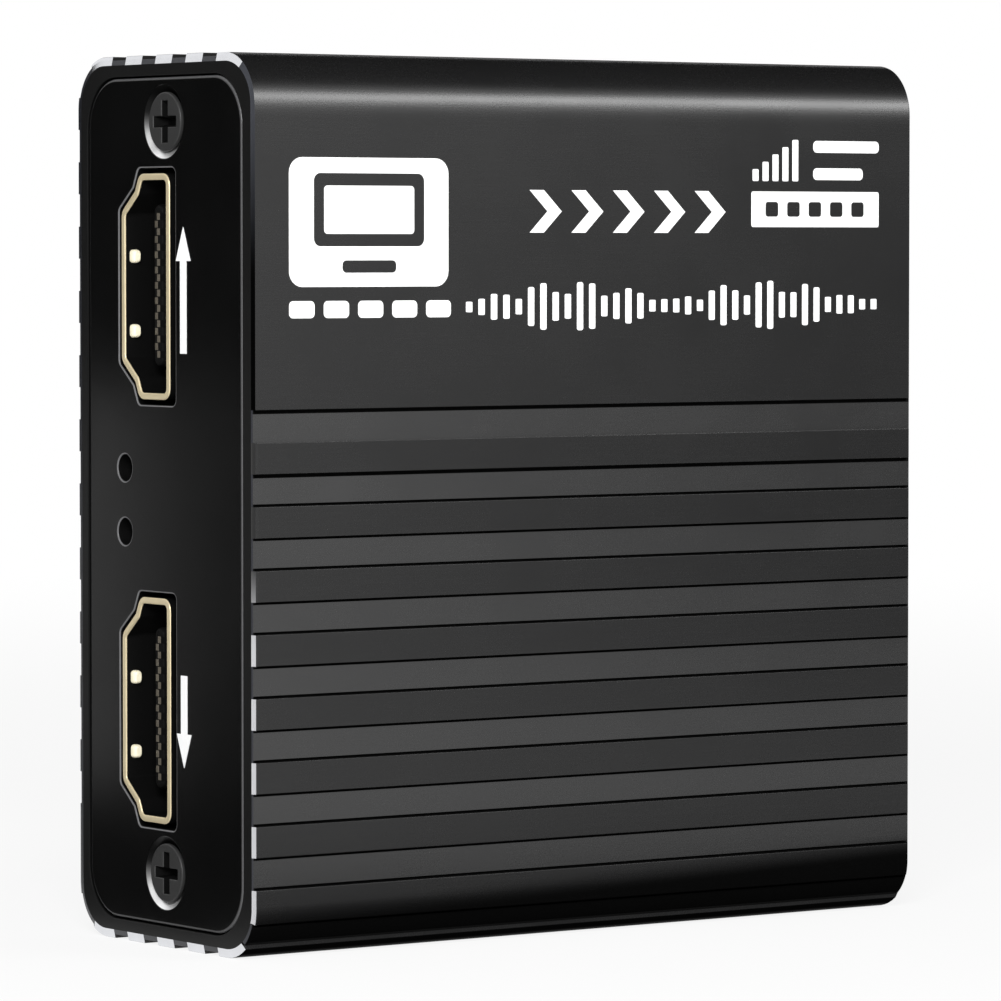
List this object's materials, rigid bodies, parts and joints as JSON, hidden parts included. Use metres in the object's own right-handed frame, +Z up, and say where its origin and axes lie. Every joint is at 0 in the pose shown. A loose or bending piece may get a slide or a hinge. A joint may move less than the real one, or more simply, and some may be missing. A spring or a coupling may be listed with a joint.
{
  "type": "video capture box",
  "caption": "Small ribbed metal box with video sockets on one end plate and a data socket on the other, standing on its narrow side.",
  "frame": {"origin": "middle of the narrow ribbed face that the box stands on", "axes": "+X along the extrusion from the video sockets to the data socket, +Y from the label face to the back face, +Z up"},
  "size_m": [0.054, 0.0216, 0.0582],
  "materials": {
    "black_anodised": "black anodised extrusion with bare bright bevels on the rib ends",
    "black_plate": "satin black plate",
    "dark_screw": "black oxide screw",
    "board_laminate": "solder mask over glass laminate",
    "gold_shell": "thin gold plating",
    "black_moulding": "moulded insulator",
    "gold_contact": "gold plated contact",
    "tin_shell": "tin plated stamping",
    "blue_moulding": "moulded insulator",
    "lamp_resin": "clear lamp resin",
    "chip_body": "moulded chip body",
    "can_metal": "plated can",
    "coil_body": "pressed ferrite",
    "bulk_body": "moulded capacitor body",
    "ceramic_body": "fired ceramic",
    "pad_silicone": "soft silicone pad"
  },
  "bodies": {
    "root": {"sleeve": "black_anodised", "front_plate": "black_plate", "rear_plate": "black_plate", "front_screws": "dark_screw", "rear_screws": "dark_screw", "circuit_board": "board_laminate", "output_shell": "gold_shell", "output_insulator": "black_moulding", "output_contacts": "gold_contact", "input_shell": "gold_shell", "input_insulator": "black_moulding", "input_contacts": "gold_contact", "data_shell": "tin_shell", "data_insulator": "blue_moulding", "data_contacts": "gold_contact", "signal_led": "lamp_resin", "power_led": "lamp_resin", "capture_chip": "chip_body", "splitter_chip": "chip_body", "flash_chip": "chip_body", "crystal": "can_metal", "coils": "coil_body", "regulator": "chip_body", "bulk_capacitors": "bulk_body", "ceramic_capacitors": "ceramic_body", "thermal_pad": "pad_silicone"}
  },
  "joints": []
}
